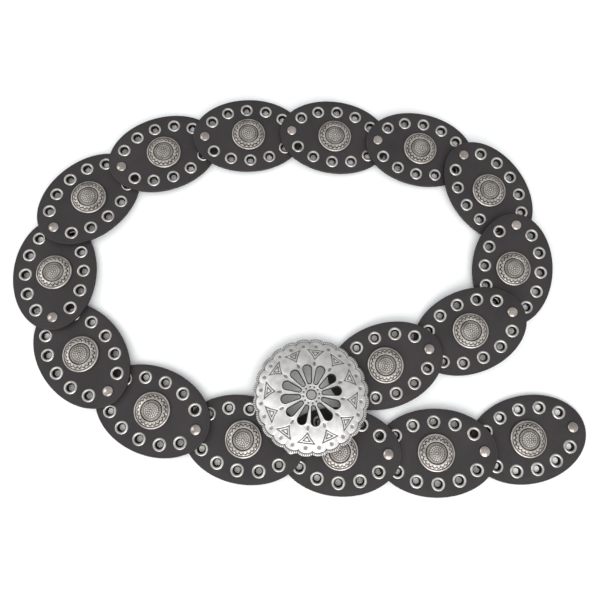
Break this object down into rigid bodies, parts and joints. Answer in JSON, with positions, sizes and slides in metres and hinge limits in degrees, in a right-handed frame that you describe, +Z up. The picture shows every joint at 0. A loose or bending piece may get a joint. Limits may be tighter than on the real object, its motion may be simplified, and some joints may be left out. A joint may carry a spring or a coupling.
{
  "type": "concho belt",
  "caption": "Leather concho belt lying in an open coil: overlapping riveted ovals with rows of eyelets and a cast concho on each, and a large round pierced buckle.",
  "frame": {"origin": "middle of the belt's footprint on the surface that it lies on", "axes": "+X along the longer side of the open coil, +Y away from the viewer of the picture, +Z up"},
  "size_m": [0.4062, 0.2938, 0.0173],
  "materials": {
    "leather": "smooth matte, fine grain",
    "concho_silver": "antiqued cast silver colour",
    "nickel": "satin nickel",
    "buckle_silver": "antiqued cast silver colour"
  },
  "bodies": {
    "root": {"link_01": "leather", "link_02": "leather", "link_03": "leather", "link_04": "leather", "link_05": "leather", "link_06": "leather", "link_07": "leather", "link_08": "leather", "link_09": "leather", "link_10": "leather", "link_11": "leather", "link_12": "leather", "link_13": "leather", "link_14": "leather", "link_15": "leather", "link_16": "leather", "concho_01": "concho_silver", "concho_02": "concho_silver", "concho_03": "concho_silver", "concho_04": "concho_silver", "concho_05": "concho_silver", "concho_06": "concho_silver", "concho_07": "concho_silver", "concho_08": "concho_silver", "concho_09": "concho_silver", "concho_10": "concho_silver", "concho_11": "concho_silver", "concho_12": "concho_silver", "concho_13": "concho_silver", "concho_14": "concho_silver", "concho_15": "concho_silver", "concho_16": "concho_silver", "rivet_01": "nickel", "rivet_02": "nickel", "rivet_03": "nickel", "rivet_04": "nickel", "rivet_05": "nickel", "rivet_06": "nickel", "rivet_07": "nickel", "rivet_08": "nickel", "rivet_09": "nickel", "rivet_10": "nickel", "rivet_11": "nickel", "rivet_12": "nickel", "rivet_13": "nickel", "rivet_14": "nickel", "rivet_15": "nickel", "rivet_16": "nickel", "buckle": "buckle_silver"}
  },
  "joints": []
}
